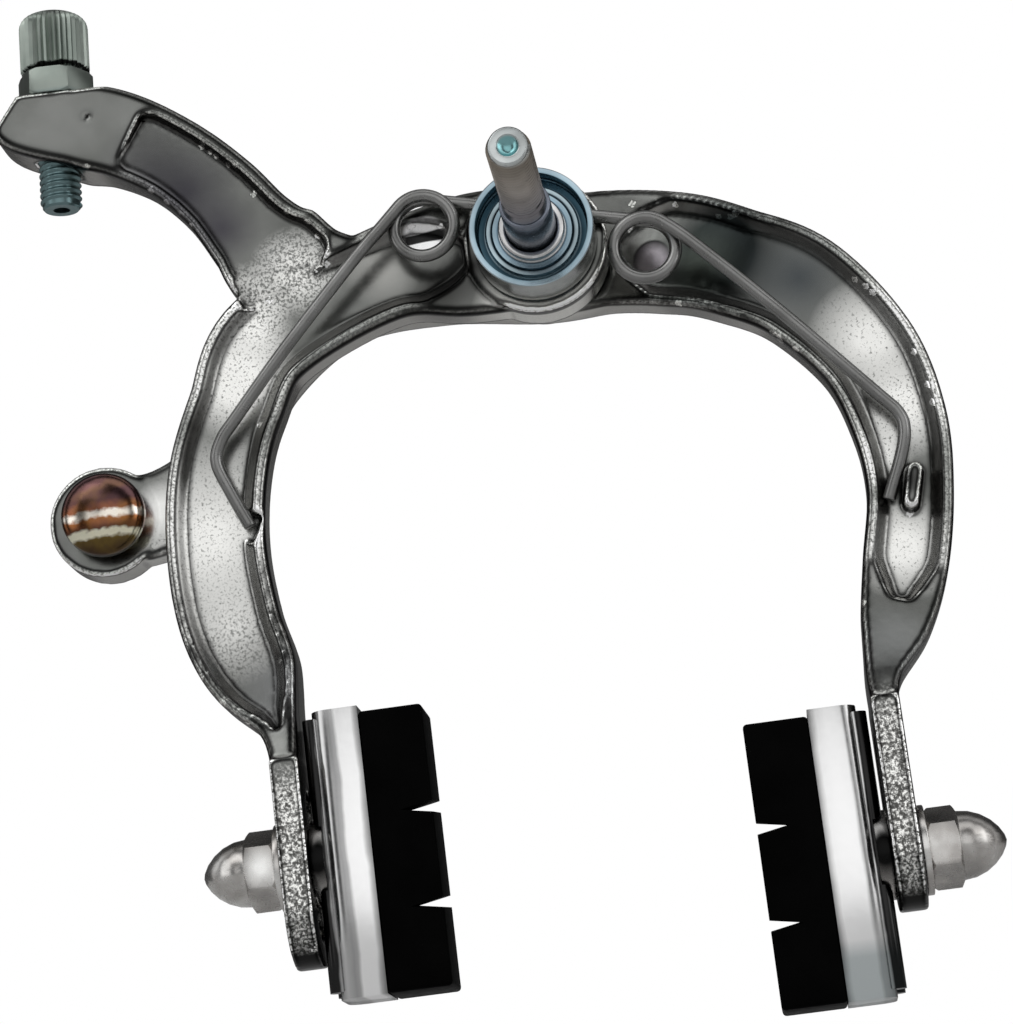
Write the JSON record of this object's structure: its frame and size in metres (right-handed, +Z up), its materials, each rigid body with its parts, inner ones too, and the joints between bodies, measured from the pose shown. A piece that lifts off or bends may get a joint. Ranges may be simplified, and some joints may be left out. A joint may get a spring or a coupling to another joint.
{
  "type": "bicycle caliper brake",
  "caption": "Single-pivot side-pull bicycle brake: two forged arms, return spring, slotted lugs with rubber pads, cable adjuster and cable anchor.",
  "frame": {"origin": "on the pivot axis, midway between the two arms' hubs", "axes": "-Y along the pivot bolt to the frame, +Z up from the pads to the cable adjuster, +X to the right seen from the frame"},
  "size_m": [0.1281, 0.0687, 0.156],
  "materials": {
    "forged_alloy": "polished, darker in the sunk web",
    "pressed_alloy": "bright",
    "adjuster_alloy": "satin grey",
    "blue_zinc": "bright blue zinc",
    "nickel": "bright plated steel",
    "bolt_steel": "plated, dull",
    "spring_steel": "plated wire",
    "yellow_chromate": "yellow chromate",
    "rubber": "matte"
  },
  "bodies": {
    "pivot_stack": {"centre_bolt": "bolt_steel", "spring_seat": "blue_zinc", "seat_washer": "blue_zinc", "seat_bush": "blue_zinc", "return_spring": "spring_steel", "rear_washer": "nickel", "middle_washer": "nickel", "front_washer": "nickel", "adjusting_nut": "nickel", "front_cap_nut": "nickel"},
    "y_arm_body": {"y_arm": "forged_alloy", "adjuster_locknut": "adjuster_alloy"},
    "c_arm_body": {"c_arm": "forged_alloy"},
    "adjuster_body": {"adjuster_barrel": "adjuster_alloy"},
    "anchor_body": {"anchor_bolt": "yellow_chromate", "anchor_washer": "nickel", "anchor_nut": "nickel"},
    "left_fixing": {"left_pad_spacer": "nickel", "left_pad_washer": "nickel", "left_pad_nut": "nickel"},
    "left_pad": {"left_pad_holder": "pressed_alloy", "left_pad_rubber": "rubber", "left_pad_stud": "nickel"},
    "right_fixing": {"right_pad_spacer": "nickel", "right_pad_washer": "nickel", "right_pad_nut": "nickel"},
    "right_pad": {"right_pad_holder": "pressed_alloy", "right_pad_rubber": "rubber", "right_pad_stud": "nickel"}
  },
  "joints": [
    {"name": "y_arm_pivot", "type": "hinge", "parent": "pivot_stack", "child": "y_arm_body", "pos_m": [0, -0.0037, 0], "axis": [0, -1, 0], "range_deg": [0, 10], "stiffness_Nm_per_rad": 4, "springref_deg": -8.59, "deforming": ["return_spring"]},
    {"name": "c_arm_pivot", "type": "hinge", "parent": "pivot_stack", "child": "c_arm_body", "pos_m": [0, 0.0037, 0], "axis": [0, 1, 0], "range_deg": [0, 10], "stiffness_Nm_per_rad": 4, "springref_deg": -8.59, "deforming": ["return_spring"]},
    {"name": "adjuster_rise", "type": "slide", "parent": "y_arm_body", "child": "adjuster_body", "axis": [0.0401, 0, 0.9992], "range_m": [0, 0.006]},
    {"name": "anchor_swivel", "type": "hinge", "parent": "c_arm_body", "child": "anchor_body", "pos_m": [-0.0651, 0.0037, -0.029], "axis": [0, 1, 0], "continuous": true},
    {"name": "left_pad_height", "type": "slide", "parent": "y_arm_body", "child": "left_fixing", "axis": [0, 0, 1], "range_m": [-0.0072, 0.0068]},
    {"name": "left_pad_turn", "type": "hinge", "parent": "left_fixing", "child": "left_pad", "pos_m": [-0.0422, -0.0037, -0.0818], "axis": [1, 0, 0], "continuous": true},
    {"name": "right_pad_height", "type": "slide", "parent": "c_arm_body", "child": "right_fixing", "axis": [0, 0, 1], "range_m": [-0.001, 0.013]},
    {"name": "right_pad_turn", "type": "hinge", "parent": "right_fixing", "child": "right_pad", "pos_m": [0.0383, -0.0037, -0.0906], "axis": [1, 0, 0], "continuous": true}
  ]
}
